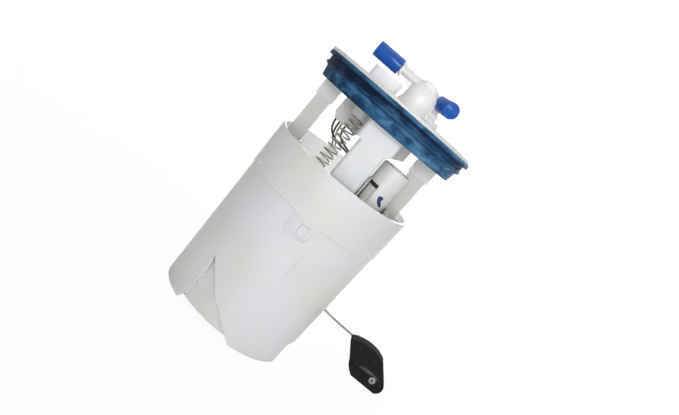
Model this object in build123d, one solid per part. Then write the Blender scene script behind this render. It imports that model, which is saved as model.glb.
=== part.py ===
from build123d import *
import math
import os

os.makedirs("parts", exist_ok=True)

# Frame and reservoir. Millimetres, Z up, origin at the centre of the base on the floor.
BODY_R1 = 56.9
BODY_R0 = BODY_R1 - 2.7
COLLAR_Z = 105.3
RIM_Z = 141.2
RIM_RISE = 0.04
COLLAR_R = BODY_R1 + 0.8
RIM_R = COLLAR_R + 0.9
NECK_R = BODY_R1 - 1.4
NECK_TOP = 120.0
WALL = 2.2
CUP_R = BODY_R0 - 3.2
CUP_WALL = 1.8
SKIRT_Z = 44.0
NOTCH_DEG = -32.6
FLOOR_Z = 3.5
FLOOR_T = 2.5
FLOOR_TOP = FLOOR_Z + FLOOR_T
FOOT_R = 5.0
FOOT_VALVE = (-6.0, 22.0)

# Flange and seal: the plate's radius and top set the ring below it and the seal round it
PLATE_R = RIM_R + 6.2
PLATE_TOP = 205.0
PLATE_T = 2.5
PLATE_Z = PLATE_TOP - PLATE_T
RING_R = PLATE_R - 7.3
RING_T = 2.3
RING_IN = RING_R - RING_T
RING_Z = PLATE_Z - 16.5
SEAL_Z = RING_Z - 1.9
LIP_R = PLATE_R + 0.2
LIP_Z = PLATE_Z - 3.3
GROOVE_R = PLATE_R - 2.7

# Gap left between two faces of different pieces that touch on the real part
FACE_GAP = 0.02

# Guide legs: each one is (x low, x high, y low, y high)
LEFT_LEG = (2.0 - RING_IN, 13.8 - RING_IN, -3.0, 3.0)
RIGHT_LEG = (RING_IN - 19.2, RING_IN - 4.8, 10.5, 16.5)
LEG_Z = 95.0
LEG_TOP = PLATE_TOP - 4.0
SOCKET_Z = PLATE_Z - 31.0
SOCKET_T = 1.4
POCKET_Z = 121.5
POCKET_TOP = 136.5
POCKET_T = 1.6
SLIDE_GAP = 0.35
HOOK = 1.5

# Filter column under the outlet tower
COL = (-7.8, 14.2, -44.0, -30.0)
COL_Z = 75.0
COL_WALL = 1.4
HEAD = (-11.2, 17.7, -44.0, -27.0)
HEAD_Z = PLATE_Z - 33.3
HEAD_SOCKET_Z = PLATE_Z - 12.0
FILTER_SPIGOT_Z = 120.0
FILTER_SPIGOT_X = 1.5

# Pump
PX = CUP_R - 23.8
PY = -10.0
CAN_R = 18.5
CAN_T = 1.2
CAN_Z0 = 15.0
CAN_Z1 = 128.0
BORE_R = CAN_R - CAN_T
SHAFT_R = 2.0
BUSH_GAP = 0.03
CORE_R = 11.8
AIR_GAP = 0.6
COMM_R = 7.0
SLIDING_GAP = 0.05
IMP_R = 15.6
IMP_T = 3.8
CHANNEL_R = (11.2, 14.8)
CORE_Z = (50.0, 86.0)
WINDING_R = 10.4
WINDING_H = 6.5
COMM_Z = (95.0, 106.0)
BRUSH_Z = (98.0, 104.0)
BRUSH_HALF = 2.4
COVER_Z = 109.0
BUSH_R = 4.5
OUTLET_AT = (PX + 5.0, PY + 3.0)
VALVE_AT = (PX + 8.8, PY + 7.3)
PORT_R = 2.2

# Regulator housing on the pump
HOUSE_R = 11.4
HOUSE_T = 1.4
HOUSE_Z = 130.0
HOUSE_TOP = 167.6
BOOT_R = 19.6

# Flange return spring
SX = -18.1
SY = -12.0
COIL_R = 5.15
COIL_WIRE = 0.6
SPRING_Z0 = COLLAR_Z + 0.7
POST_R = 7.5
SPRING_Z1 = PLATE_Z - 8.5
SPRING_TURNS = 19

# Connector
CONN = (-34.5, -8.8, 4.0, 20.0)
CONN_TOP = PLATE_TOP + 10.4
BOSS = (-35.2, -12.0, 4.0, 20.0)
BOSS_Z = PLATE_Z - 37.0
TERMINALS = 4
TERMINAL_X = -29.6
TERMINAL_STEP = 4.6

# Outlet tower, riser and the two capped nipples
TX = 6.3
TY = -6.0
TOWER_R = 11.7
RX = 18.8
RY = 12.0
NIP_R = 3.55
BEAD_R = 4.75
CAP_R = 6.25
CAP_BORE = 4.82
NIP_Z = PLATE_TOP + 18.8
NIP2_DEG = 25.0
CAP1_NEAR = TX + 18.6

# Level sender behind the reservoir, its arm and its float
SENDER = (-27.0, 7.0, 57.6, 62.6)
SENDER_Z = (34.0, 85.0)
PIVOT = (-10.0, 44.0)
WIPER_LEAN = 24.0
SENDER_PLUG_H = 8.98
ARM_Y = 67.0
ARM_R = 1.0
HUB_PIN_R = 1.5
PIN_GAP = 0.05
FLOAT_Y = (50.0, 64.0)
PIN = (130.4, 17.3)


def disc(r, z0, z1, at=(0.0, 0.0)):
    return Pos(at[0], at[1], (z0 + z1) / 2) * Cylinder(r, z1 - z0)


def tube(r_out, r_in, z0, z1, at=(0.0, 0.0)):
    return disc(r_out, z0, z1, at) - disc(r_in, z0 - 1, z1 + 1, at)


def block(x0, x1, y0, y1, z0, z1):
    middle = Pos((x0 + x1) / 2, (y0 + y1) / 2, (z0 + z1) / 2)
    return middle * Box(x1 - x0, y1 - y0, z1 - z0)


def turned(points, at=(0.0, 0.0)):
    """Solid of revolution from (radius, height) points about an upright axis."""
    outline = Polyline([(r, 0, z) for r, z in points], close=True)
    return Pos(at[0], at[1], 0) * revolve(make_face(outline), Axis.Z)


def sector(r_out, r_in, z0, z1, mid_deg, half_deg):
    """Part of a ring, centred on an angle counted from the front (-Y) towards +X."""
    ring = tube(r_out, r_in, z0, z1)
    reach = 2.5 * r_out
    half = math.radians(half_deg)
    wedge = [(0, 0), (-reach * math.sin(half), -reach * math.cos(half))]
    wedge += [(reach * math.sin(half), -reach * math.cos(half))]
    cutter = extrude(make_face(Polyline(wedge, close=True)), z1 - z0 + 2)
    return ring & (Rot(0, 0, mid_deg) * Pos(0, 0, z0 - 1) * cutter)


def rod(p0, p1, r):
    """Round bar between two points."""
    a, b = Vector(*p0), Vector(*p1)
    plane = Plane(origin=a, z_dir=(b - a).normalized())
    return extrude(plane * Circle(r), (b - a).length)


def smooth_path(points):
    """Straight runs joined by the largest tangent arcs their lengths allow."""
    radii = []
    for before, here, after in zip(points, points[1:], points[2:]):
        a = Vector(*here) - Vector(*before)
        b = Vector(*after) - Vector(*here)
        turn = math.radians(a.get_angle(b))
        radii.append(0.45 * min(a.length, b.length) / math.tan(turn / 2))
    return FilletPolyline(*points, radius=radii), radii


def cord(name, points, r, r_in=0.0):
    path, radii = smooth_path(points)
    print(name, "radii", [round(v, 1) for v in radii], "length", round(path.length, 1))
    start = Plane(origin=path @ 0, z_dir=path % 0)
    ring = Circle(r) - Circle(r_in) if r_in else Circle(r)
    return sweep(start * ring, path=path)


def body_radius(z):
    return BODY_R0 + (BODY_R1 - BODY_R0) * z / COLLAR_Z


def at_angle(r, deg):
    """Plan position at an angle counted from the front (-Y) towards +X."""
    a = math.radians(deg)
    return (r * math.sin(a), -r * math.cos(a))


parts = {}


# Reservoir: tapered wall over a smaller cup, with a notched skirt down to the floor
def pushed_out(marks, middle):
    """Cutter drawn flat in front, from (angle, height) marks, and turned to its own side."""
    flat = [(BODY_R0 * math.sin(math.radians(a - middle)), 9.2 - BODY_R0, z) for a, z in marks]
    return Rot(0, 0, middle) * extrude(make_face(Polyline(flat, close=True)), 20, dir=(0, -1, 0))


def notch_cutter():
    """Slanting triangular cut in the skirt."""
    marks = [(-34.8, 41.9), (-21.6, 30.4), (-10.5, 18.6), (-7.6, 19.1), (5.9, 8.3)]
    marks += [(18.4, -0.5), (18.4, -4.0), (-38.9, -4.0), (-38.2, 0.5), (NOTCH_DEG, 8.0)]
    marks += [(NOTCH_DEG, 36.0)]
    return pushed_out(marks, NOTCH_DEG + 22.6)


def make_reservoir():
    skirt = turned([(BODY_R0, 0), (body_radius(SKIRT_Z), SKIRT_Z),
                    (body_radius(SKIRT_Z) - 1.8, SKIRT_Z), (BODY_R0 - 1.8, 0)])
    cut = notch_cutter()
    window = pushed_out([(68, -4), (68, 17.5), (86, 22), (116, 22), (116, -4)], 92.0)
    skirt = skirt - cut - window - Rot(0, 0, 240) * cut
    inner = CUP_R - CUP_WALL
    wall = turned([
        (0, FLOOR_Z), (CUP_R - 0.8, FLOOR_Z), (CUP_R, FLOOR_Z + 0.8), (CUP_R, SKIRT_Z - 2),
        (body_radius(SKIRT_Z) - 1.0, SKIRT_Z - 2), (body_radius(SKIRT_Z - 1), SKIRT_Z - 1),
        (BODY_R1, COLLAR_Z - 0.2), (NECK_R, COLLAR_Z - 0.2), (NECK_R, NECK_TOP),
        (NECK_R - 1.6, NECK_TOP), (BODY_R1 - WALL - 0.8, COLLAR_Z - 4),
        (body_radius(SKIRT_Z) - WALL, SKIRT_Z + 2), (inner, SKIRT_Z),
        (inner, FLOOR_TOP), (0, FLOOR_TOP)])
    flank = sector(body_radius(0) - 0.3, CUP_R - 0.3, 0, SKIRT_Z - 1, NOTCH_DEG - 1.4, 2.0)
    flank -= cut
    shape = skirt + wall + flank
    pad = block(-30.0, 10.0, 46.0, SENDER[2], 28.0, 86.0)
    pad -= turned([(0, 20), (CUP_R, 20), (CUP_R, SKIRT_Z), (body_radius(SKIRT_Z) - 1, SKIRT_Z),
                   (BODY_R1 - 1.2, COLLAR_Z), (0, COLLAR_Z)])
    shape += pad
    shape += disc(FOOT_R, 0, FLOOR_Z + 0.5)
    vx, vy = FOOT_VALVE
    shape -= disc(1.6, 0, 20, FOOT_VALVE)
    for k in range(6):
        a = k * math.pi / 3
        shape -= disc(1.5, FLOOR_Z - 1, FLOOR_TOP + 1, (vx + 4.2 * math.cos(a), vy + 4.2 * math.sin(a)))
    shape -= disc(2.4, FLOOR_Z - 1, FLOOR_TOP + 1, (PX, PY))
    # Snap noses under the collar's two latch loops, and the small index rib beside the front one
    for turn in (0, 180):
        nose = turned([(BODY_R1 - 0.9, 93.0), (BODY_R1 - 0.2, 93.0), (BODY_R1 + 1.0, 100.2),
                       (BODY_R1 + 1.0, 101.2), (BODY_R1 - 0.9, 101.2)])
        wedge = sector(60, 50, 92, 102, 4.0, 3.3)
        shape += Rot(0, 0, turn) * (nose & wedge)
    rib = turned([(BODY_R1 - 1.9, 66.7), (body_radius(66.7) + 0.45, 66.7), (body_radius(86.2) + 0.45, 86.2),
                  (BODY_R1 - 1.9, 86.2)])
    shape += rib & sector(60, 50, 60, 90, 15.6, 0.9)
    return shape


parts["reservoir"] = make_reservoir()


# Spring post: hollow column on the floor with a stiffening web and a cup for the spring's lower end
def make_spring_post():
    at = (SX, SY)
    post = disc(POST_R, FLOOR_TOP, SPRING_Z0 + 5, at)
    post -= disc(POST_R - 2.5, FLOOR_TOP + 2, SPRING_Z0 - 3, at)
    post -= disc(COIL_R + COIL_WIRE + 0.35, SPRING_Z0, SPRING_Z0 + 9, at)
    web = block(SX - 27, SX - POST_R + 0.5, SY - 1, SY + 1, FLOOR_TOP, SKIRT_Z)
    return post + (web & disc(CUP_R - CUP_WALL, 0, 70))


parts["spring_post"] = make_spring_post()


# Upper collar: separate ring that snaps over the reservoir's neck and guides the legs
def make_collar():
    low_in = NECK_R + 0.05
    top_in = RIM_R - WALL
    high = RIM_Z + 3.0
    ring = turned([(low_in, COLLAR_Z), (COLLAR_R, COLLAR_Z), (RIM_R, high), (top_in, high),
                   (top_in, NECK_TOP + 0.6), (low_in, NECK_TOP + 0.1)])
    # The rim rises a little towards the back
    reach = 70.0
    above = [(0, -reach, RIM_Z - RIM_RISE * reach), (0, reach, RIM_Z + RIM_RISE * reach),
             (0, reach, high + 9), (0, -reach, high + 9)]
    ring -= extrude(make_face(Polyline(above, close=True)), reach, dir=(1, 0, 0), both=True)
    inside = disc(top_in + 0.5, 0, 200)
    g = SLIDE_GAP
    for leg in (LEFT_LEG, RIGHT_LEG):
        t = POCKET_T
        x0, x1 = (-RIM_R, leg[1] + g + t) if leg[0] < 0 else (leg[0] - g - t, RIM_R)
        ring += block(x0, x1, leg[2] - g - t, leg[3] + g + t, POCKET_Z, POCKET_TOP) & inside
        ring -= block(leg[0] - g, leg[1] + g, leg[2] - g, leg[3] + g, POCKET_Z - 1, POCKET_TOP + 1)
    # Latch loops: a U-shaped strap hanging from the collar's lower edge at front and back
    for turn in (0, 180):
        strap = turned([(BODY_R1 + 0.05, 87.5), (BODY_R1 + 0.6, 87.5), (BODY_R1 + 0.6, COLLAR_Z + 4),
                        (BODY_R1 + 0.05, COLLAR_Z + 4)])
        strap &= sector(62, 50, 80, 112, 2.2, 10.1)
        window = block(-3.6, 10.6, -70, -40, 91.0, 102.5)
        window = fillet(window.edges().filter_by(Axis.Y), 4.0)
        rounded = extrude(Plane.XZ.offset(40) * Pos(2.2, 97.5) * RectangleRounded(20.2, 20.0, 6.5), 30)
        upper = block(-9, 13.2, -70, -40, 98, 120)
        strap = strap & (rounded + upper)
        ring += Rot(0, 0, turn) * (strap - window)
    for deg in (-60, 60, 120, 240):
        x, y = at_angle(COLLAR_R + 0.6, deg)
        ring += rod((x * 0.97, y * 0.97, 110.0), (x * 1.008, y * 1.008, 110.0), 1.3)
    return ring


parts["upper_collar"] = make_collar()


# Inlet strainer: fine mesh disc in a moulded rim under the floor, and the foot valve above it
parts["inlet_strainer"] = (tube(44.0, 41.5, 1.0, FLOOR_Z) + tube(41.7, FOOT_R + 0.5, 1.6, 2.3) +
                           tube(FOOT_R + 2.0, FOOT_R + 0.05, 1.0, FLOOR_Z) +
                           tube(7.0, 5.0, 2.2, FLOOR_Z, (PX, PY)) +
                           tube(9.0, 7.0, 2.2, FLOOR_Z, FOOT_VALVE))
parts["foot_valve_flap"] = (turned([(0, FLOOR_TOP), (6.0, FLOOR_TOP), (6.2, FLOOR_TOP + 0.6),
                                    (2.2, FLOOR_TOP + 1.5), (0, FLOOR_TOP + 1.6)], FOOT_VALVE) +
                            disc(1.55, FLOOR_Z - 0.05, FLOOR_TOP + 0.2, FOOT_VALVE))


# Jet pump: a nozzle fed from the pump draws fuel in through a flared mixing tube
JET = (-24.0, 18.0)
parts["jet_mixing_tube"] = turned([(3.0, 20.0), (6.5, 20.0), (6.5, 22.0), (5.0, 26.0),
                                   (5.0, 62.0), (3.6, 62.0), (2.4, 30.0)], JET)
parts["jet_nozzle"] = (turned([(0.8, FLOOR_TOP), (6.5, FLOOR_TOP), (6.5, 10.0), (4.2, 12.0),
                               (2.2, 19.0), (0.8, 19.0)], JET) -
                       rod((JET[0], JET[1], 10.0), (JET[0] + 12, JET[1], 10.0), 0.8))
jet_bracket = block(JET[0] - 8.0, JET[0] - 4.0, JET[1] - 2, JET[1] + 2, FLOOR_TOP, 30.0)
parts["jet_mixing_tube"] += jet_bracket - disc(6.55, 0, 19.99, JET) - disc(3.0, 19, 32, JET)


# Pump holder: cup on three ribs that carries the pump clear of the floor
def make_holder():
    wall = 19.95
    cup = tube(wall, CAN_R + 0.05, CAN_Z0 - 2, 40.0, (PX, PY))
    cup += tube(wall, 6.0, CAN_Z0 - 2, CAN_Z0 - FACE_GAP, (PX, PY))
    cup += tube(12.0, 10.5, FLOOR_TOP, CAN_Z0 - 1.9, (PX, PY))
    for k in range(3):
        a = math.radians(30 + 120 * k)
        x, y = PX + wall * math.cos(a), PY + wall * math.sin(a)
        cup -= Pos(x, y, 34) * Rot(0, 0, math.degrees(a)) * Box(8, 9, 20)
    return cup


parts["pump_holder"] = make_holder()

# Pump motor: steel can with rolled ends around two magnets
parts["pump_can"] = (tube(CAN_R, BORE_R, CAN_Z0, CAN_Z1, (PX, PY)) +
                     tube(CAN_R, 14.5, CAN_Z0, CAN_Z0 + CAN_T, (PX, PY)) +
                     tube(CAN_R, 14.5, CAN_Z1 - CAN_T, CAN_Z1, (PX, PY)))
PUMP_LOW = CAN_Z0 + CAN_T
CHANNEL_Z = 28.0
PLATE_LOW = CHANNEL_Z + 4.0
inlet_cover = disc(BORE_R, PUMP_LOW, CHANNEL_Z, (PX, PY)) + disc(5.0, 9.0, PUMP_LOW, (PX, PY))
inlet_cover -= disc(3.2, 8.0, 18.5, (PX, PY))
inlet_cover -= block(PX - 2, PX + 15, PY - 2, PY + 2, 17.5, 19.2)
inlet_cover -= disc(2.0, 18.0, CHANNEL_Z + 1, (PX + 13, PY))
inlet_cover -= disc(BUSH_R, 20.0, CHANNEL_Z + 1, (PX, PY))
inlet_cover -= tube(CHANNEL_R[1], CHANNEL_R[0], CHANNEL_Z - 1.5, CHANNEL_Z + 1, (PX, PY))
parts["pump_inlet_cover"] = inlet_cover
parts["lower_bush"] = tube(BUSH_R, SHAFT_R + BUSH_GAP, 20.0, CHANNEL_Z - 0.1, (PX, PY))
channel_plate = tube(BORE_R, IMP_R + 0.15, CHANNEL_Z, PLATE_LOW, (PX, PY))
channel_plate += tube(BORE_R, 2.6, PLATE_LOW, PLATE_LOW + 5, (PX, PY))
channel_plate -= tube(CHANNEL_R[1], CHANNEL_R[0], PLATE_LOW - 1, PLATE_LOW + 1.5, (PX, PY))
channel_plate -= disc(2.0, PLATE_LOW - 1, PLATE_LOW + 6, (PX - 13, PY))
parts["pump_channel_plate"] = channel_plate

impeller = tube(IMP_R, SHAFT_R, CHANNEL_Z + 0.1, CHANNEL_Z + 0.1 + IMP_T, (PX, PY))
vanes = 28
for k in range(vanes):
    slot = Pos(PX, PY, CHANNEL_Z + 2) * Rot(0, 0, 360 * k / vanes) * Pos(13.6, 0, 0) * Box(6, 1.5, 8)
    impeller -= slot
parts["impeller"] = impeller
parts["armature_shaft"] = disc(SHAFT_R, 20.4, 118.0, (PX, PY))

core = tube(CORE_R, SHAFT_R, CORE_Z[0], CORE_Z[1], (PX, PY))
for k in range(8):
    slot = Pos(PX, PY, 68) * Rot(0, 0, 45 * k) * (Pos(11.5, 0, 0) * Box(4, 1.2, 40) +
                                                  Pos(8.0, 0, 0) * Box(4, 3.0, 40))
    core -= slot
parts["armature_core"] = core
parts["armature_windings"] = (tube(WINDING_R, SHAFT_R, CORE_Z[0] - WINDING_H, CORE_Z[0], (PX, PY)) +
                              tube(WINDING_R, SHAFT_R, CORE_Z[1], CORE_Z[1] + WINDING_H, (PX, PY)))
commutator = tube(COMM_R, SHAFT_R, COMM_Z[0], COMM_Z[1], (PX, PY))
for k in range(8):
    commutator -= Pos(PX, PY, 100) * Rot(0, 0, 45 * k + 22.5) * Pos(COMM_R, 0, 0) * Box(1.6, 0.4, 20)
parts["commutator"] = commutator
magnet = sector(BORE_R, CORE_R + AIR_GAP, CORE_Z[0] - 4, CORE_Z[1] + 4, 0, 62)
parts["field_magnets"] = Pos(PX, PY, 0) * (magnet + Rot(0, 0, 180) * magnet)

brush = block(COMM_R + SLIDING_GAP, 13.5, -BRUSH_HALF, BRUSH_HALF, BRUSH_Z[0], BRUSH_Z[1])
parts["brushes"] = Pos(PX, PY, 0) * (brush + Rot(0, 0, 180) * brush)


def make_outlet_cover():
    at = (PX, PY)
    cover = disc(BORE_R, COVER_Z, CAN_Z1 - CAN_T, at) + disc(14.4, CAN_Z1 - CAN_T, HOUSE_Z, at)
    cover += tube(BORE_R, BORE_R - 1.6, CORE_Z[1] + 7.5, COVER_Z, at)
    for side in (-1, 1):
        x0, x1 = sorted((PX + side * 8.2, PX + side * 16.0))
        cover += block(x0, x1, PY - 4, PY + 4, BRUSH_Z[0] - 1.4, COVER_Z)
    slot = BRUSH_HALF + SLIDING_GAP
    cover -= block(PX - 14.5, PX + 14.5, PY - slot, PY + slot,
                   BRUSH_Z[0] - SLIDING_GAP, BRUSH_Z[1] + SLIDING_GAP)
    cover -= disc(8.0, 90, COVER_Z, at)
    cover += tube(BUSH_R + 2, BUSH_R, COVER_Z - 1.8, COVER_Z + 1, at)
    cover -= disc(BUSH_R, COVER_Z - 2, COVER_Z + 9.5, at)
    cover += tube(4.0, PORT_R, HOUSE_Z - 0.5, HOUSE_Z + 3.4, OUTLET_AT)
    cover -= disc(PORT_R, COVER_Z - 1, HOUSE_Z + 1, VALVE_AT)
    cover -= disc(PORT_R, 122, HOUSE_Z + 4, OUTLET_AT)
    cover -= rod((*OUTLET_AT, 123.0), (*VALVE_AT, 123.0), PORT_R - 0.2)
    cover += disc(PORT_R + 0.4, 125.2, HOUSE_Z, VALVE_AT)
    return cover


parts["pump_outlet_cover"] = make_outlet_cover()
parts["upper_bush"] = tube(BUSH_R, SHAFT_R + BUSH_GAP, COVER_Z, COVER_Z + 8, (PX, PY))

# Isolator: rubber boot on the pump's top, open in front of the housing and at the plug's place
PLUG_DEG = 135.0
PLUG_Z = (130.2, 139.5)
boot = turned([(CAN_R + 0.05, 118.0), (BOOT_R, 118.0), (BOOT_R, 134.2), (12.9, 141.2),
               (HOUSE_R + 0.1, 141.2), (HOUSE_R + 0.1, 137.6), (17.4, 131.6), (CAN_R + 0.05, 128.6)],
              (PX, PY))
boot -= Pos(PX, PY, 133) * Rot(0, 0, PLUG_DEG) * Pos(17, 0, 0) * Box(14, 10.4, 20)
boot -= block(PX - 22, PX + 12.2, PY - 25, PY, 131.0, 142.0)
parts["isolator_boot"] = boot


# Regulator housing: upright cup on the pump's outlet, with an open window at its front left
def make_housing():
    at = (PX, PY)
    cup = turned([(HOUSE_R - HOUSE_T, HOUSE_Z), (HOUSE_R, HOUSE_Z), (HOUSE_R, HOUSE_TOP - 0.8),
                  (HOUSE_R - 0.8, HOUSE_TOP), (HOUSE_R - 2.2, HOUSE_TOP), (HOUSE_R - 2.8, HOUSE_TOP - 0.5),
                  (0, HOUSE_TOP - 0.5), (0, HOUSE_TOP - 2.0), (HOUSE_R - HOUSE_T, HOUSE_TOP - 2.0)], at)
    cup += tube(HOUSE_R - HOUSE_T + 0.1, 6.1, 155.0, 157.0, at)
    window = block(PX - 16, PX - 2.7, PY - 14, PY - 1.5, 134.0, 150.8)
    window = fillet(window.edges().filter_by(Axis.Y), 0.8)
    cup -= window
    cup += rod((PX, PY + HOUSE_R - 1.0, 160.0), (PX, PY + HOUSE_R + 5.0, 160.0), 3.6)
    cup -= rod((PX, PY + HOUSE_R - 3.0, 160.0), (PX, PY + HOUSE_R + 9.0, 160.0), 2.5)
    return cup


parts["regulator_housing"] = make_housing()
parts["pressure_regulator"] = turned([(0, 134.2), (8.2, 134.2), (9.0, 135.0), (9.0, 146.4), (9.6, 146.4),
                                      (9.6, 147.6), (5.6, 147.6), (5.6, 156.0), (4.0, 158.5),
                                      (2.0, 158.5), (2.0, 150.0), (0, 150.0)], (PX, PY)) \
    - disc(4.5, 133, 136, OUTLET_AT)
parts["regulator_seal"] = tube(9.7, 5.62, 147.65, 151.6, (PX, PY))
plug = block(15.0, 21.5, -4.5, 4.5, PLUG_Z[0], PLUG_Z[1])
parts["pump_plug"] = Pos(PX, PY, 0) * Rot(0, 0, PLUG_DEG) * plug

# Hose between regulator housing and filter: soft loop that follows the flange
HOSE = [(PX, PY + HOUSE_R + 0.2, 160.0), (PX, 11.0, 160.0), (PX - 1.5, 25.0, 152.0), (16.0, 33.0, 140.0),
        (5.5, 27.0, 128.0), (2.0, 12.0, 121.5), (FILTER_SPIGOT_X, -8.0, FILTER_SPIGOT_Z),
        (FILTER_SPIGOT_X, -28.8, FILTER_SPIGOT_Z)]
parts["fuel_hose"] = cord("fuel_hose", HOSE, 4.7, 3.62)


# Filter column: flat-fronted housing that hangs from the flange, its element and bottom cap
def rounded_block(x0, x1, y0, y1, z0, z1, r):
    shape = Pos((x0 + x1) / 2, (y0 + y1) / 2, z0) * RectangleRounded(x1 - x0, y1 - y0, r)
    return extrude(shape, z1 - z0, dir=(0, 0, 1))


def make_filter_housing():
    x0, x1, y0, y1 = COL
    t = COL_WALL
    shape = rounded_block(x0, x1, y0, y1, COL_Z, LEG_TOP, 2.5)
    head = rounded_block(HEAD[0], HEAD[1], HEAD[2], HEAD[3], HEAD_Z, LEG_TOP, 2.5)
    corner = [(x1 - 0.5, 0, HEAD_Z - 1), (HEAD[1] + 1, 0, HEAD_Z - 1), (HEAD[1] + 1, 0, HEAD_Z + 3.4),
              (x1 - 0.5, 0, HEAD_Z)]
    shape += head - extrude(make_face(Polyline(corner, close=True)), 60, dir=(0, -1, 0))
    shape -= rounded_block(x0 + t, x1 - t, y0 + t, y1 - t, COL_Z - 1, LEG_TOP - 1.6, 1.2)
    shape -= disc(3.0, LEG_TOP - 3, LEG_TOP + 1, (3.2, -36.0))
    x, z = FILTER_SPIGOT_X, FILTER_SPIGOT_Z
    shape += rod((x, y1 - 0.5, z), (x, y1 + 8.0, z), 3.6)
    shape -= rod((x, y1 - 3.0, z), (x, y1 + 9.0, z), 2.5)
    return shape


def make_filter_element():
    x0, x1, y0, y1 = COL
    folds = 11
    low = FILTER_SPIGOT_Z + 7.0
    top = LEG_TOP - 4.0
    step = (x1 - x0 - 6.0) / folds
    points = []
    for k in range(folds + 1):
        points.append((x0 + 3.0 + k * step, y0 + 2.6 if k % 2 else y1 - 4.8))
    back = [(x, y + 1.3) for x, y in reversed(points)]
    pleats = extrude(make_face(Polyline(points + back, close=True)), top - low)
    frame = rounded_block(x0 + 1.5, x1 - 1.5, y0 + 1.5, y1 - 1.5, low - 1, low + 1, 1.0)
    frame += rounded_block(x0 + 1.5, x1 - 1.5, y0 + 1.5, y1 - 1.5, top - 1, top + 1, 1.0)
    frame -= rounded_block(x0 + 4, x1 - 4, y0 + 4, y1 - 4, low - 7, low, 1.0)
    return Pos(0, 0, low) * pleats + frame


parts["filter_housing"] = make_filter_housing()
parts["filter_element"] = make_filter_element()
parts["filter_bottom_cap"] = (rounded_block(COL[0] - 1.2, COL[1] + 1.2, COL[2] - 1.2, COL[3] + 1.2,
                                            COL_Z - 1.6, COL_Z, 3.0) +
                              rounded_block(COL[0] + 1.45, COL[1] - 1.45, COL[2] + 1.45, COL[3] - 1.45,
                                            COL_Z - 0.1, COL_Z + 5.0, 1.4))


# Flange: round plate with a seal ring, leg and column sockets, spring cup and connector shroud
def make_flange():
    plate = turned([(0, PLATE_Z), (RING_IN, PLATE_Z), (RING_IN + 0.6, RING_Z), (RING_R, RING_Z),
                    (RING_R, PLATE_Z - FACE_GAP), (PLATE_R - 0.3, PLATE_Z - FACE_GAP),
                    (PLATE_R, PLATE_Z + 0.3),
                    (PLATE_R, PLATE_TOP - 0.6), (PLATE_R - 0.6, PLATE_TOP), (0, PLATE_TOP)])
    room = disc(RING_IN + 0.5, SOCKET_Z - 10, PLATE_TOP)
    for leg in (LEFT_LEG, RIGHT_LEG):
        t = SOCKET_T
        socket = block(leg[0] - t, leg[1] + t, leg[2] - t, leg[3] + t, SOCKET_Z, PLATE_Z + 0.5)
        plate += socket & room
        plate -= block(leg[0] - FACE_GAP, leg[1] + FACE_GAP, leg[2] - FACE_GAP, leg[3] + FACE_GAP,
                       SOCKET_Z - 1, LEG_TOP)
    x0, x1, y0, y1 = HEAD
    t = SOCKET_T
    plate += rounded_block(x0 - t, x1 + t, y0 - t, y1 + t, HEAD_SOCKET_Z, PLATE_Z + 0.5, 3.5)
    plate -= rounded_block(x0 - FACE_GAP, x1 + FACE_GAP, y0 - FACE_GAP, y1 + FACE_GAP,
                           HEAD_SOCKET_Z - 1, LEG_TOP, 2.5)
    plate += tube(7.6, COIL_R + COIL_WIRE + 0.35, PLATE_Z - 25.5, PLATE_Z + 0.5, (SX, SY))
    plate += disc(7.6, SPRING_Z1, PLATE_Z + 0.5, (SX, SY))
    x0, x1, y0, y1 = BOSS
    boss = block(x0, x1, y0, y1, BOSS_Z, PLATE_Z + 0.5)
    lip = [(x0 - 1, 0, BOSS_Z - 1), (x0 + 2.2, 0, BOSS_Z - 1), (x0 + 2.2, 0, BOSS_Z + 1.2),
           (x0, 0, BOSS_Z + 4.8), (x0 - 1, 0, BOSS_Z + 4.8)]
    boss -= extrude(make_face(Polyline(lip, close=True)), 60, dir=(0, 1, 0))
    plate += boss - block(x0 + 2, x1 - 2, y0 + 2, y1 - 2, BOSS_Z + 6.5, PLATE_Z)
    low = PLATE_Z - 37.5
    rear = block(19.5, 27.7, 16.0, 28.0, low, PLATE_Z + 0.5)
    slant = [(10, 0, low - 15), (40, 0, low - 15), (40, 0, low + 14.0), (10, 0, low - 0.2)]
    plate += rear - extrude(make_face(Polyline(slant, close=True)), 60, dir=(0, 1, 0))
    return plate


flange = make_flange()
blades = []
for k in range(TERMINALS):
    x = TERMINAL_X + TERMINAL_STEP * k
    y = (CONN[2] + CONN[3]) / 2
    flange -= block(x - 0.4, x + 0.4, y - 1.4, y + 1.4, PLATE_Z - 2, PLATE_TOP + 2)
    blades.append(block(x - 0.4, x + 0.4, y - 1.4, y + 1.4, BOSS_Z + 10.0, CONN_TOP - 2.5))
parts["flange_plate"] = flange
x0, x1, y0, y1 = CONN
shroud = rounded_block(x0, x1, y0, y1, PLATE_TOP, CONN_TOP, 3.5)
shroud -= rounded_block(x0 + 2, x1 - 2, y0 + 2, y1 - 2, PLATE_TOP + 1.0, CONN_TOP + 1, 2.0)
for k in range(TERMINALS):
    x = TERMINAL_X + TERMINAL_STEP * k
    shroud -= block(x - 0.4, x + 0.4, (y0 + y1) / 2 - 1.4, (y0 + y1) / 2 + 1.4, PLATE_TOP - 1, PLATE_TOP + 2)
parts["connector_shroud"] = shroud
parts["connector_terminals"] = Compound(blades)

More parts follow.
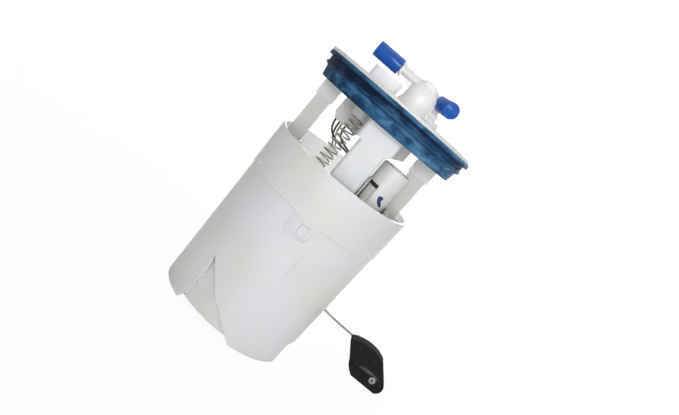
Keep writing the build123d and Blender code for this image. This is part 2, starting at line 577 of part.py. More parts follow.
# Seal: rubber ring with an upper lip under the plate and a pointed second lip below a groove
parts["tank_seal"] = turned([
    (RING_R + FACE_GAP, PLATE_Z - 2 * FACE_GAP), (LIP_R - 0.6, PLATE_Z - 2 * FACE_GAP),
    (LIP_R, PLATE_Z - 0.7), (LIP_R, LIP_Z + 0.5), (LIP_R - 0.5, LIP_Z), (GROOVE_R, LIP_Z),
    (GROOVE_R, SEAL_Z + 10.9), (GROOVE_R + 0.6, SEAL_Z + 10.4), (GROOVE_R + 1.1, SEAL_Z + 9.8),
    (GROOVE_R + 0.8, SEAL_Z + 9.1), (GROOVE_R - 1.5, SEAL_Z + 7.5), (RING_R + 1.8, SEAL_Z + 0.6),
    (RING_R + 1.3, SEAL_Z), (RING_R - 1.6, SEAL_Z), (RING_R - 1.6, RING_Z - FACE_GAP),
    (RING_R + FACE_GAP, RING_Z - FACE_GAP)])


def make_leg(leg, hook_side):
    """Guide leg: flat bar with a lightening groove and a snap hook that stops it in its pocket."""
    x0, x1, y0, y1 = leg
    bar = block(x0, x1, y0, y1, LEG_Z, LEG_TOP)
    bar -= block(x0 + 3.2, x1 - 3.2, y1 - 2.2, y1 + 1, LEG_Z + 4, POCKET_Z - 2)
    top = POCKET_Z - 0.3
    edge = x1 if hook_side > 0 else x0
    tip = edge + hook_side * HOOK
    barb = [(edge, y0, top), (tip, y0, top), (tip, y0, top - 1.5), (edge, y0, top - 7.0)]
    bar += extrude(make_face(Polyline(barb, close=True)), y1 - y0, dir=(0, 1, 0))
    return bar


parts["left_guide_leg"] = make_leg(LEFT_LEG, 1)
parts["right_guide_leg"] = make_leg(RIGHT_LEG, -1)

# Spring between the reservoir's post and the flange's cup
helix = Helix((SPRING_Z1 - SPRING_Z0 - 2.4) / SPRING_TURNS, SPRING_Z1 - SPRING_Z0 - 2.4, COIL_R,
              center=(SX, SY, SPRING_Z0 + 1.2))
parts["flange_spring"] = sweep(Plane(origin=helix @ 0, z_dir=helix % 0) * Circle(COIL_WIRE), path=helix)


# Outlet tower with its side nipple, and the riser with its angled nipple
def nipple(start, direction, length, bead_at):
    end = tuple(s + d * length for s, d in zip(start, direction))
    pipe = rod(start, end, NIP_R)
    low = tuple(s + d * (bead_at - 1.2) for s, d in zip(start, direction))
    high = tuple(s + d * (bead_at + 1.2) for s, d in zip(start, direction))
    pipe += rod(low, high, BEAD_R)
    bore_end = tuple(s + d * (length + 1) for s, d in zip(start, direction))
    return pipe, rod(start, bore_end, 2.3)


def make_tower():
    top = PLATE_TOP + 25.0
    body = turned([(0, PLATE_TOP + 0.01), (13.3, PLATE_TOP + 0.01), (13.3, PLATE_TOP + 2.6),
                   (12.0, PLATE_TOP + 5.0), (TOWER_R, top - 12.0), (10.6, top - 8.6), (8.0, top - 5.4),
                   (7.4, top - 2.4), (5.4, top - 0.6), (2.6, top), (0, top)], (TX, TY))
    pipe, bore = nipple((TX, TY, NIP_Z), (-1, 0, 0), 44.0, 36.0)
    collar = rod((TX - 24.6, TY, NIP_Z), (TX - 22.4, TY, NIP_Z), 5.2)
    rib = block(TX - 16, TX, TY - 1.2, TY + 1.2, NIP_Z - 6.3, NIP_Z)
    return body + pipe + collar + rib - bore - disc(2.3, PLATE_TOP - 1, NIP_Z, (TX, TY))


D2 = (math.sin(math.radians(NIP2_DEG)), -math.cos(math.radians(NIP2_DEG)), 0)


def make_riser():
    base = PLATE_TOP + 0.01
    knee = PLATE_TOP + 9.0
    body = disc(7.2, base, knee, (RX, RY)) + disc(9.0, base, PLATE_TOP + 4.9, (RX + 2.5, RY - 1.0))
    body += turned([(0, knee - 0.1), (7.2, knee - 0.1), (5.2, knee + 3.2), (5.2, NIP_Z), (0, NIP_Z)],
                   (RX, RY))
    body += Pos(RX, RY, NIP_Z) * Sphere(5.2)
    pipe, bore = nipple((RX, RY, NIP_Z), D2, 20.0, 13.0)
    return body + pipe - bore - disc(2.3, PLATE_TOP - 1, NIP_Z, (RX, RY))


parts["outlet_tower"] = make_tower()
parts["riser_elbow"] = make_riser() - disc(13.35, PLATE_TOP, PLATE_TOP + 3, (TX, TY))


def make_cap(start, direction, length, near):
    """Push-on transport cap: closed far end, ribbed grip, bore that clears the nipple's bead."""
    a = tuple(s + d * near for s, d in zip(start, direction))
    b = tuple(s + d * (near + length) for s, d in zip(start, direction))
    c = tuple(s + d * (near + length - 2.0) for s, d in zip(start, direction))
    before = tuple(s + d * (near - 1) for s, d in zip(start, direction))
    shell = rod(a, b, CAP_R)
    shell = fillet(shell.edges().filter_by(GeomType.CIRCLE).sort_by_distance(Vector(*b))[0], 1.0)
    return shell - rod(before, c, CAP_BORE)


parts["side_nipple_cap"] = make_cap((TX, TY, NIP_Z), (-1, 0, 0), 22.0, CAP1_NEAR)
parts["front_nipple_cap"] = make_cap((RX, RY, NIP_Z), D2, 18.5, 5.6)


# Level sender on the back of the reservoir
def make_sender():
    x0, x1, y0, y1 = SENDER
    z0, z1 = SENDER_Z
    tray = block(x0, x1, y0 + FACE_GAP, y1, z0, z1)
    tray -= block(x0 + 1.6, x1 - 1.6, y0 + 1.6, y1 + 1, z0 + 1.6, z1 - 1.6)
    px, pz = PIVOT
    tray += rod((px, y0 + 1, pz), (px, y1, pz), 4.0)
    tray -= rod((px, y0 + 1.5, pz), (px, y1 + 3, pz), HUB_PIN_R + BUSH_GAP)
    tray += block(x0, x0 + 4, y1 - 1, y1 + 0.8, z1 - 12, z1 - 2)
    return tray


parts["sender_housing"] = make_sender()
parts["resistor_card"] = block(-23.0, 4.0, 59.25, 60.0, 52.0, 80.0)
parts["sender_plug"] = block(-23.5, -13.5, 58.0, 62.2, SENDER_Z[1] + FACE_GAP,
                             SENDER_Z[1] + FACE_GAP + SENDER_PLUG_H)


# Float arm: bent steel wire with a moulded hub and a sprung wiper on the card
def make_arm():
    x0, z0 = PIVOT
    route = [(x0 - 9, ARM_Y, z0), (x0 + 18, ARM_Y, z0 - 0.6), (x0 + 48, ARM_Y, z0 - 10),
             (75.0, ARM_Y, 31.6), (104.0, ARM_Y, 31.2), (PIN[0] - 6, ARM_Y, PIN[1] + 5),
             (PIN[0], ARM_Y, PIN[1])]
    path = smooth_path(route)[0]
    arm = sweep(Plane(origin=path @ 0, z_dir=path % 0) * Circle(ARM_R), path=path)
    elbow = Pos(PIN[0], ARM_Y, PIN[1]) * Sphere(ARM_R)
    pin = rod((PIN[0], ARM_Y, PIN[1]), (PIN[0], FLOAT_Y[0] - 3.0, PIN[1]), ARM_R)
    return arm + elbow + pin


arm_wire = make_arm()
hub = rod((PIVOT[0], SENDER[3] + 0.35, PIVOT[1]), (PIVOT[0], ARM_Y + 2.2, PIVOT[1]), 6.0)
hub += block(PIVOT[0] - 9, PIVOT[0] + 14, ARM_Y - 2.4, ARM_Y + 2.2, PIVOT[1] - 3.2, PIVOT[1] + 3.2)
hub += rod((PIVOT[0], SENDER[2] + 2.0, PIVOT[1]), (PIVOT[0], ARM_Y, PIVOT[1]), HUB_PIN_R)
parts["float_arm_hub"] = hub - arm_wire
parts["float_arm"] = arm_wire
wiper = block(PIVOT[0] - 1.5, PIVOT[0] + 1.5, 62.95, 63.55, PIVOT[1] + 5.0, PIVOT[1] + 26.0)
wiper += block(PIVOT[0] - 1.5, PIVOT[0] + 1.5, 60.3, 63.55, PIVOT[1] + 24.0, PIVOT[1] + 26.0)
wiper -= rod((PIVOT[0], 60, PIVOT[1]), (PIVOT[0], 70, PIVOT[1]), 6.0)
parts["wiper"] = wiper.rotate(Axis((PIVOT[0], 0, PIVOT[1]), (0, 1, 0)), WIPER_LEAN)


# Float: cam-shaped block that swivels on the wire's bent end, held by a push nut
def make_float():
    y = FLOAT_Y[0]
    with BuildLine() as outline:
        Line((94.6, 31.3), (94.8, 32.4))
        ThreePointArc((94.8, 32.4), (95.4, 33.4), (96.6, 34.1))
        Spline([(96.6, 34.1), (106.8, 37.4), (113.2, 37.9), (119.7, 37.2), (127.6, 34.4)])
        Line((127.6, 34.4), (141.6, 19.3))
        ThreePointArc((141.6, 19.3), (142.6, 16.0), (141.3, 11.4))
        Line((141.3, 11.4), (138.7, 9.1))
        Line((138.7, 9.1), (114.2, 8.6))
        Spline([(114.2, 8.6), (110.0, 11.5), (106.7, 14.6), (104.3, 18.6)])
        Line((104.3, 18.6), (94.6, 31.3))
    face = make_face(Plane.XZ * outline.line)
    body = extrude(Pos(0, y, 0) * face, FLOAT_Y[1] - y, dir=(0, 1, 0))
    body -= rod((PIN[0], y - 5, PIN[1]), (PIN[0], 80, PIN[1]), ARM_R + PIN_GAP)
    body -= rod((103.6, y, 17.6), (PIN[0] - 3.2, y, PIN[1] - 1.0), 0.9)
    lug = block(99.0, 103.0, FLOAT_Y[1] - 1, ARM_Y + 1.4, 32.6, 34.4)
    return body + lug


parts["float"] = make_float()
parts["float_push_nut"] = (rod((PIN[0], 49.7, PIN[1]), (PIN[0], 48.9, PIN[1]), 3.0) -
                           rod((PIN[0], 55, PIN[1]), (PIN[0], 40, PIN[1]), ARM_R))

# Wires: one pair from the connector to the pump, one pair over the rear rim to the sender
WIRE_R = 0.75
WIRE_Z = BOSS_Z - FACE_GAP
PLUG_X = PX + 18.2 * math.cos(math.radians(PLUG_DEG))
PLUG_Y = PY + 18.2 * math.sin(math.radians(PLUG_DEG))
PLUG_TOP = PLUG_Z[1] + FACE_GAP
SENDER_PLUG_TOP = SENDER_Z[1] + SENDER_PLUG_H + 2 * FACE_GAP
WIRES = {
    "pump_wire_front": [(-31.5, 10.5, WIRE_Z), (-31.5, 10.5, WIRE_Z - 4), (-28.0, 9.0, 155.8),
                        (-20.0, 7.0, 152.9), (-9.0, 4.5, 151.9), (2.0, 1.4, 150.0),
                        (PLUG_X - 1.6, PLUG_Y - 1.6, 145.5), (PLUG_X - 1.6, PLUG_Y - 1.6, PLUG_TOP)],
    "pump_wire_rear": [(-22.5, 11.5, WIRE_Z), (-22.5, 11.5, WIRE_Z - 4.5), (-19.5, 10.0, 156.0),
                       (-12.5, 7.2, 153.8), (-3.0, 5.4, 152.2), (7.0, 4.8, 150.5),
                       (PLUG_X + 1.6, PLUG_Y + 1.6, 145.5), (PLUG_X + 1.6, PLUG_Y + 1.6, PLUG_TOP)],
    "sender_wire_dark": [(-28.0, 14.0, WIRE_Z), (-28.0, 14.0, WIRE_Z - 5), (-26.8, 23.0, 154.5),
                         (-25.8, 37.5, 150.6), (-24.2, 50.5, 148.0), (-22.4, 60.5, 142.5),
                         (-21.0, 61.6, 127.0), (-20.3, 61.0, 112.0), (-20.3, 60.1, 102.0),
                         (-20.3, 60.1, SENDER_PLUG_TOP)],
    "sender_wire_green": [(-25.8, 14.5, WIRE_Z), (-25.8, 14.5, WIRE_Z - 4.5), (-24.8, 24.0, 155.5),
                          (-23.8, 38.0, 151.5), (-21.8, 51.0, 148.6), (-19.2, 60.7, 143.0),
                          (-17.4, 61.8, 127.0), (-16.9, 61.2, 112.0), (-16.9, 60.1, 102.0),
                          (-16.9, 60.1, SENDER_PLUG_TOP)],
}

for name, points in WIRES.items():
    parts[name] = cord(name, points, WIRE_R)

for name, shape in parts.items():
    export_step(shape, f"parts/{name}.step")
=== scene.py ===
import bpy
import math
from mathutils import Matrix, Vector


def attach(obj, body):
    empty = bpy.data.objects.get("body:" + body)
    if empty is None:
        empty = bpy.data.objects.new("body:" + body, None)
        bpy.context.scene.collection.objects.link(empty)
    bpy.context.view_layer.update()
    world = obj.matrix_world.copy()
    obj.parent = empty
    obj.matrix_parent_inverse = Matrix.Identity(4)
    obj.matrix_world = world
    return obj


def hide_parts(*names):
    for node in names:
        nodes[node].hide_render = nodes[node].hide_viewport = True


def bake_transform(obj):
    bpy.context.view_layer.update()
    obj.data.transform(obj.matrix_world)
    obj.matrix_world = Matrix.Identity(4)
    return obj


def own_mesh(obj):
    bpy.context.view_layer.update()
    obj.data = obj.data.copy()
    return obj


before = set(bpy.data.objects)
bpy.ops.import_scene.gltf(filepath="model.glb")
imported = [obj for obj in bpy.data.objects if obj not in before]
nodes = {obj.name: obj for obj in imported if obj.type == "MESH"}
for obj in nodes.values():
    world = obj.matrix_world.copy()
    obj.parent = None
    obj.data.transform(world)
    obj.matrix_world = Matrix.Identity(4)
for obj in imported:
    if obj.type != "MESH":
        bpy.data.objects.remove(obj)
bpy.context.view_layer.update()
bpy.ops.object.select_all(action="DESELECT")
bpy.context.scene.view_settings.view_transform = "Standard"

# Camera. It stands half a metre in front of the module, looks slightly down, and is rolled
# so that the module leans to the upper right of the picture.
CAMERA_AT = (0.0, -0.5270, 0.1956)
PITCH, YAW, ROLL = 8.417, 1.485, 40.954
turn = (Matrix.Rotation(math.radians(-YAW), 3, "Z") @ Matrix.Rotation(math.radians(90 - PITCH), 3, "X")
        @ Matrix.Rotation(math.radians(ROLL), 3, "Z"))
bpy.ops.object.camera_add(location=CAMERA_AT, rotation=turn.to_euler())
camera = bpy.context.object
camera.data.sensor_width = 36.0
camera.data.lens = 38.013
camera.data.clip_start = 0.01
camera.data.clip_end = 30.0
bpy.context.scene.camera = camera


# Wires. Four limp stranded leads in glossy PVC covers, 1.5 mm across. One pair drops from the
# connector's boss to the pump's plug, the other goes over the rear rim to the level sender.
def colour(code):
    """An sRGB hex colour as the linear values that sockets take."""
    parts = [int(code[i:i + 2], 16) / 255 for i in (1, 3, 5)]
    return tuple(c / 12.92 if c <= 0.04045 else ((c + 0.055) / 1.055) ** 2.4 for c in parts) + (1.0,)


def add(tree, kind, settings, links=()):
    """Adds one node; a setting is a property or a socket, a link is (input, node, output)."""
    node = tree.nodes.new(kind)
    for name, value in settings.items():
        if isinstance(name, str) and hasattr(node, name):
            setattr(node, name, value)
        else:
            node.inputs[name].default_value = value
    for socket, source, output in links:
        tree.links.new(source.outputs[output], node.inputs[socket])
    return node


def blank(name):
    """A new material with an empty tree."""
    made = bpy.data.materials.new(name)
    made.use_nodes = True
    made.node_tree.nodes.clear()
    return made, made.node_tree


def two_tone(name, tones, patch, grit, depth, **skin):
    """A finish with clouds of two tones, patch metres across, and a relief of grains, grit metres
    across and depth metres deep; the rest are sockets of the surface itself."""
    made, tree = blank(name)
    place = add(tree, "ShaderNodeTexCoord", {})
    cloud = add(tree, "ShaderNodeTexNoise", {"Scale": 1 / patch, "Detail": 2.0},
                [("Vector", place, "Object")])
    tone = add(tree, "ShaderNodeValToRGB", {}, [("Fac", cloud, 0)])
    for stop, at, code in zip(tone.color_ramp.elements, (0.35, 0.65), tones):
        stop.position = at
        stop.color = colour(code)
    grain = add(tree, "ShaderNodeTexNoise", {"Scale": 1 / grit, "Detail": 3.0},
                [("Vector", place, "Object")])
    relief = add(tree, "ShaderNodeBump", {"Strength": 0.5, "Distance": depth}, [("Height", grain, 0)])
    sockets = {socket.replace("_", " "): value for socket, value in skin.items()}
    surface = add(tree, "ShaderNodeBsdfPrincipled", sockets,
                  [("Base Color", tone, 0), ("Normal", relief, 0)])
    add(tree, "ShaderNodeOutputMaterial", {}, [("Surface", surface, 0)])
    return made


def run_cord(name, points, across, bore=0.0):
    """A cord's tube along the smooth line of its route; gives the tube and the points it follows.
    Across and bore are its diameters in metres, and a cord without a bore is solid."""
    line = bpy.data.curves.new(name, "CURVE")
    line.dimensions = "3D"
    spline = line.splines.new("NURBS")
    spline.points.add(len(points) - 1)
    for knot, point in zip(spline.points, points):
        knot.co = (*point, 1.0)
    spline.order_u = 3
    spline.use_endpoint_u = True
    spline.resolution_u = 10
    tube = bpy.data.objects.new(name, line)
    bpy.context.collection.objects.link(tube)
    bpy.context.view_layer.update()
    route = [v.co.copy() for v in bpy.data.meshes.new_from_object(tube).vertices]
    line.bevel_depth = across / 2
    line.bevel_resolution = 4
    line.use_fill_caps = not bore
    tube.select_set(True)
    bpy.context.view_layer.objects.active = tube
    bpy.ops.object.convert(target="MESH")
    tube = bpy.context.object
    bpy.ops.object.shade_smooth()
    if bore:
        wall = tube.modifiers.new("wall", "SOLIDIFY")
        wall.thickness = (across - bore) / 2
        wall.offset = -1.0
        bpy.ops.object.modifier_apply(modifier="wall")
    bpy.ops.object.select_all(action="DESELECT")
    return tube, route


# Soft PVC, extruded, with a clean gloss and a slight waviness from the strands under it.
black_cover = two_tone("black_pvc_cover", ("#0C0C0E", "#17171A"), 0.004, 0.0012, 0.00003, Roughness=0.32)
green_cover = two_tone("yellow_green_pvc_cover", ("#8E9A22", "#B4BE3C"), 0.004, 0.0012, 0.00003,
                       Roughness=0.34)
WIRE_ACROSS = 0.0015
BOSS_LOW = 0.16548
PUMP_PLUG_TOP = 0.13952
SENDER_PLUG_TOP = 0.09402
PUMP_WIRE_STILL, SENDER_WIRE_STILL = 0.1400, 0.1480
# Each wire's cover and slot, its length, the height below which it stands still, and its route.
WIRES = {
    "pump_wire_front": (black_cover, "black_wire", 0.0585, PUMP_WIRE_STILL, [
        (-0.0315, 0.0105, BOSS_LOW), (-0.0315, 0.0105, 0.1615), (-0.0280, 0.0090, 0.1558),
        (-0.0200, 0.0070, 0.1529), (-0.0090, 0.0045, 0.1519), (0.0020, 0.0014, 0.1500),
        (0.01273, 0.00127, 0.1455), (0.01273, 0.00127, PUMP_PLUG_TOP)]),
    "pump_wire_rear": (black_cover, "black_wire", 0.0530, PUMP_WIRE_STILL, [
        (-0.0225, 0.0115, BOSS_LOW), (-0.0225, 0.0115, 0.1610), (-0.0195, 0.0100, 0.1560),
        (-0.0125, 0.0072, 0.1538), (-0.0030, 0.0054, 0.1522), (0.0070, 0.0048, 0.1505),
        (0.01593, 0.00447, 0.1455), (0.01593, 0.00447, PUMP_PLUG_TOP)]),
    "sender_wire_dark": (black_cover, "black_wire", 0.1020, SENDER_WIRE_STILL, [
        (-0.0280, 0.0140, BOSS_LOW), (-0.0280, 0.0140, 0.1605), (-0.0268, 0.0230, 0.1545),
        (-0.0258, 0.0375, 0.1506), (-0.0242, 0.0505, 0.1480), (-0.0224, 0.0605, 0.1425),
        (-0.0210, 0.0616, 0.1270), (-0.0203, 0.0610, 0.1120), (-0.0203, 0.0601, 0.1020),
        (-0.0203, 0.0601, SENDER_PLUG_TOP)]),
    "sender_wire_green": (green_cover, "green_wire", 0.1020, SENDER_WIRE_STILL, [
        (-0.0258, 0.0145, BOSS_LOW), (-0.0258, 0.0145, 0.1610), (-0.0248, 0.0240, 0.1555),
        (-0.0238, 0.0380, 0.1515), (-0.0218, 0.0510, 0.1486), (-0.0192, 0.0607, 0.1430),
        (-0.0174, 0.0618, 0.1270), (-0.0169, 0.0612, 0.1120), (-0.0169, 0.0601, 0.1020),
        (-0.0169, 0.0601, SENDER_PLUG_TOP)]),
}
for name, (cover, slot, length, still, points) in WIRES.items():
    lead, route = run_cord(name + "_lead", points, WIRE_ACROSS)
    lead.data.materials.append(cover)
    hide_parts(name)
    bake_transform(lead)

# Fuel hose. A smooth nylon tube, 9.4 mm across, pushed onto two spigots. It loops behind the
# regulator so that the flange can move.
# Natural nylon, extruded: creamy, with a smooth satin skin and a little light inside.
nylon_tube = two_tone("natural_nylon_tube", ("#CFC9BC", "#DCD7CC"), 0.009, 0.0008, 0.00002,
                      Roughness=0.36, IOR=1.53, Subsurface_Weight=0.3, Subsurface_Scale=0.002)
HOSE_ACROSS, HOSE_BORE = 0.0094, 0.00724
HOSE = [(0.0272, 0.0016, 0.1600), (0.0272, 0.0110, 0.1600), (0.0257, 0.0250, 0.1520),
        (0.0160, 0.0330, 0.1400), (0.0055, 0.0270, 0.1280), (0.0020, 0.0120, 0.1215),
        (0.0015, -0.0080, 0.1200), (0.0015, -0.0288, 0.1200)]
hose, route = run_cord("fuel_hose_tube", HOSE, HOSE_ACROSS, HOSE_BORE)
hose.data.materials.append(nylon_tube)
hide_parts("fuel_hose")
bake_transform(hose)

# Floor and light. Pale seamless paper that shows white to the camera, with the module's soft
# shadow on it, a pale world, soft boxes in front, at the front right, above, low and behind, and
# a strip light.
white_floor, tree = blank("white_paper_floor")
path = add(tree, "ShaderNodeLightPath", {})
place = add(tree, "ShaderNodeTexCoord", {})
away = add(tree, "ShaderNodeVectorMath", {"operation": "LENGTH"}, [(0, place, "Object")])
# Within 15 cm of the module's axis the camera sees 7% of the lit paper, from 50 cm on none of it.
share = add(tree, "ShaderNodeMapRange", {"From Min": 0.15, "From Max": 0.50, "To Min": 0.93, "To Max": 1.0},
            [("Value", away, "Value")])
seen = add(tree, "ShaderNodeMath", {"operation": "MULTIPLY"}, [(0, path, "Is Camera Ray"), (1, share, 0)])
matt = add(tree, "ShaderNodeBsdfDiffuse", {"Color": colour("#FCFCFC")})
glow = add(tree, "ShaderNodeEmission", {"Color": colour("#FFFFFF"), "Strength": 1.0})
mixed = add(tree, "ShaderNodeMixShader", {}, [(0, seen, 0), (1, matt, 0), (2, glow, 0)])
add(tree, "ShaderNodeOutputMaterial", {}, [("Surface", mixed, 0)])

FLOOR_ACROSS, FLOOR_Z = 12.0, -0.0002
bpy.ops.mesh.primitive_plane_add(size=FLOOR_ACROSS, location=(0, 0, FLOOR_Z))
floor = bpy.context.object
floor.name = "floor"
floor.data.materials.append(white_floor)
bpy.ops.object.select_all(action="DESELECT")

world = bpy.data.worlds.new("pale_studio")
bpy.context.scene.world = world
world.use_nodes = True
tree = world.node_tree
tree.nodes.clear()
path = add(tree, "ShaderNodeLightPath", {})
direct = add(tree, "ShaderNodeMath", {"operation": "MAXIMUM"},
             [(0, path, "Is Camera Ray"), (1, path, "Is Transmission Ray")])
shown = add(tree, "ShaderNodeMath", {"operation": "MAXIMUM"},
            [(0, direct, 0), (1, path, "Is Glossy Ray")])
ambient = add(tree, "ShaderNodeBackground", {"Color": colour("#FFFEFC"), "Strength": 0.34})
plain = add(tree, "ShaderNodeBackground", {"Color": colour("#FFFFFF"), "Strength": 1.0})
mixed = add(tree, "ShaderNodeMixShader", {}, [(0, shown, 0), (1, ambient, 0), (2, plain, 0)])
add(tree, "ShaderNodeOutputWorld", {}, [("Surface", mixed, 0)])

LAMPS_AIM = Vector((0, 0, 0.11))
# Each lamp's place, its two sizes in metres and its power in watts.
SOFT_BOXES = (
    ("key_box", (0.45, -0.90, 0.50), (0.6, 0.6), 1.2),
    ("top_box", (-0.10, 0.10, 1.10), (0.8, 0.8), 1.6),
    ("low_box", (0.18, -0.97, 0.12), (0.7, 0.2), 2.1),
    ("back_box", (0.20, 0.95, 0.45), (0.8, 0.8), 9.0),
    ("front_box", (-0.06, -1.05, 0.376), (0.35, 0.20), 2.1),
    ("front_strip", (0.35, -1.00, 0.38), (1.4, 0.07), 1.8),
)
for name, place, size, watts in SOFT_BOXES:
    aim = (LAMPS_AIM - Vector(place)).to_track_quat("-Z", "Y")
    bpy.ops.object.light_add(type="AREA", location=place, rotation=aim.to_euler())
    lamp = bpy.context.object
    lamp.name = name
    lamp.data.shape = "RECTANGLE"
    lamp.data.size, lamp.data.size_y = size
    lamp.data.energy = watts
bpy.ops.object.select_all(action="DESELECT")


# Reservoir and its collar. Two mouldings in natural polypropylene, milky and slightly soft at the
# edges; the collar snaps over the bucket's neck with two latch loops.
def dress(node, material, edge=0.0, clamp=False):
    """Gives a CAD node its finish, and softens its moulded edges by a width in metres."""
    piece = nodes[node]
    piece.data.materials.clear()
    piece.data.materials.append(material)
    for face in piece.data.polygons:
        face.use_smooth = True
    weld = piece.modifiers.new("weld", "WELD")
    weld.merge_threshold = 0.00001
    flat = piece.modifiers.new("flat", "DECIMATE")
    flat.decimate_type = "DISSOLVE"
    flat.angle_limit = math.radians(0.5)
    if edge:
        bevel = piece.modifiers.new("edge", "BEVEL")
        bevel.width = edge
        bevel.segments = 2
        bevel.limit_method = "ANGLE"
        bevel.angle_limit = math.radians(32)
        bevel.use_clamp_overlap = clamp
    normal = piece.modifiers.new("normal", "WEIGHTED_NORMAL")
    normal.keep_sharp = True
    return piece


# Natural polypropylene, moulded: milky, lets light through its wall, with a fine satin skin.
polypropylene = two_tone("natural_polypropylene_moulded", ("#CFCDCA", "#D1D1D6"), 0.045, 0.0011, 0.00004,
                         Roughness=0.42, IOR=1.49, Subsurface_Weight=0.5, Subsurface_Scale=0.0025,
                         Subsurface_Radius=(1.0, 1.0, 0.97))
dress("reservoir", polypropylene, 0.0004)
dress("upper_collar", polypropylene, 0.0004, True)
# A paler copy of the same polypropylene on the walls' inner side: painted light that stands in for the
# light coming through the wall. It goes on the faces that look inwards, outside the bucket's inner cup.
painted_light_wall = two_tone("natural_polypropylene_painted_light_inside", ("#F6F4F0", "#FAF9F6"), 0.035, 0.0011, 0.00004,
                    Roughness=0.42, IOR=1.49, Subsurface_Weight=1.0, Subsurface_Scale=0.012,
                    Subsurface_Radius=(1.0, 1.0, 0.97))
INNER_PARTS_R, INWARDS = 0.040, -0.6
for name in ("reservoir", "upper_collar"):
    nodes[name].data.materials.append(painted_light_wall)
    for face in nodes[name].data.polygons:
        outward = Vector((face.center.x, face.center.y, 0))
        if outward.length > INNER_PARTS_R and face.normal.dot(outward.normalized()) < INWARDS:
            face.material_index = 1

# Spring post, pump holder and jet pump. Stiff mouldings in natural acetal inside the bucket, a
# little warmer and duller than the bucket itself.
acetal = two_tone("natural_acetal_moulded", ("#E2DFDA", "#E9E7E3"), 0.02, 0.0009, 0.00003,
                  Roughness=0.38, IOR=1.48, Subsurface_Weight=0.2, Subsurface_Scale=0.002)
for name in ("spring_post", "pump_holder", "jet_mixing_tube", "jet_nozzle"):
    dress(name, acetal, 0.0003, True)

# Inlet strainer and foot valve. A fine woven nylon mesh under the floor, and a moulded rubber flap
# over the floor's holes.
WEAVE_SCALE = 260.0
# Woven nylon: pale threads, with dark between them. They are drawn 0.6 mm thick, coarser than the
# real 0.1 mm, so that they show, and the scale sets them 1.2 mm apart.
strainer_weave, tree = blank("woven_nylon_mesh")
place = add(tree, "ShaderNodeTexCoord", {})
warp = add(tree, "ShaderNodeTexWave", {"bands_direction": "X", "Scale": WEAVE_SCALE},
           [("Vector", place, "Object")])
weft = add(tree, "ShaderNodeTexWave", {"bands_direction": "Y", "Scale": WEAVE_SCALE},
           [("Vector", place, "Object")])
weave = add(tree, "ShaderNodeMath", {"operation": "MAXIMUM"}, [(0, warp, 1), (1, weft, 1)])
tone = add(tree, "ShaderNodeValToRGB", {}, [("Fac", weave, 0)])
tone.color_ramp.elements[0].color = colour("#5E5C57")
tone.color_ramp.elements[1].color = colour("#CFCDC6")
relief = add(tree, "ShaderNodeBump", {"Strength": 0.7, "Distance": 0.0002}, [("Height", weave, 0)])
skin = add(tree, "ShaderNodeBsdfPrincipled", {"Roughness": 0.55, "IOR": 1.53},
           [("Base Color", tone, 0), ("Normal", relief, 0)])
add(tree, "ShaderNodeOutputMaterial", {}, [("Surface", skin, 0)])
dress("inlet_strainer", strainer_weave)

# Black nitrile rubber, moulded: dull, with a faint bloom.
nitrile = two_tone("black_nitrile_moulded", ("#161617", "#232325"), 0.006, 0.0006, 0.00005,
                   Roughness=0.62)
dress("foot_valve_flap", nitrile, 0.0002, True)

# Pump. A plated steel can with rolled ends, die-cast aluminium covers at the inlet, and a moulded
# black outlet cover with its brush pockets. In it a small motor turns the impeller.
# Zinc-plated steel, drawn: a soft greyish gloss with faint clouds of the plating.
plated_steel = two_tone("zinc_plated_steel_drawn", ("#B9BDB8", "#CBCFCA"), 0.004, 0.0005, 0.00002,
                        Metallic=0.6, Roughness=0.36)
# Aluminium, die-cast: matt and slightly rough, with small clouds.
die_cast = two_tone("die_cast_aluminium", ("#A3A4A6", "#BCBDBF"), 0.005, 0.0007, 0.00006,
                    Metallic=1.0, Roughness=0.48)
# Glass-filled nylon, moulded: black, with a satin skin.
dark_moulding = two_tone("black_glass_filled_nylon", ("#1B1B1C", "#29292A"), 0.005, 0.0006, 0.00004,
                         Roughness=0.5, IOR=1.53)
# Bronze, sintered: brown and finely pitted.
sintered = two_tone("sintered_bronze", ("#7A5A34", "#96713F"), 0.0016, 0.0004, 0.00005,
                    Metallic=1.0, Roughness=0.52)
# Phenolic, machined: dark brown, with a dry sheen.
phenolic = two_tone("dark_phenolic_machined", ("#2A2320", "#3A312B"), 0.003, 0.0005, 0.00003,
                    Roughness=0.45)
# Steel, ground: bright and even.
bright_steel = two_tone("ground_steel", ("#8B8B8A", "#A6A6A5"), 0.002, 0.0004, 0.00001,
                        Metallic=1.0, Roughness=0.28)
# Stacked sheet steel: dark grey, with its cut edges slightly rough.
core_steel = two_tone("stacked_core_steel", ("#55565A", "#6C6D71"), 0.003, 0.0005, 0.00005,
                      Metallic=0.9, Roughness=0.5)
# Copper wire in clear enamel: red-brown and glossy.
enamelled_copper = two_tone("enamelled_copper", ("#A04B26", "#BE6534"), 0.0016, 0.0005, 0.0001,
                            Metallic=0.9, Roughness=0.36)
# Ferrite, sintered: dark grey, like dull stone.
ferrite_grey = two_tone("sintered_ferrite", ("#2F2F31", "#3E3E40"), 0.003, 0.0004, 0.00004,
                        Roughness=0.66)
# Carbon, pressed: nearly black, with a weak metallic sheen.
carbon_black = two_tone("pressed_carbon", ("#1C1C1E", "#2C2C2F"), 0.002, 0.0003, 0.00004,
                        Metallic=0.2, Roughness=0.55)
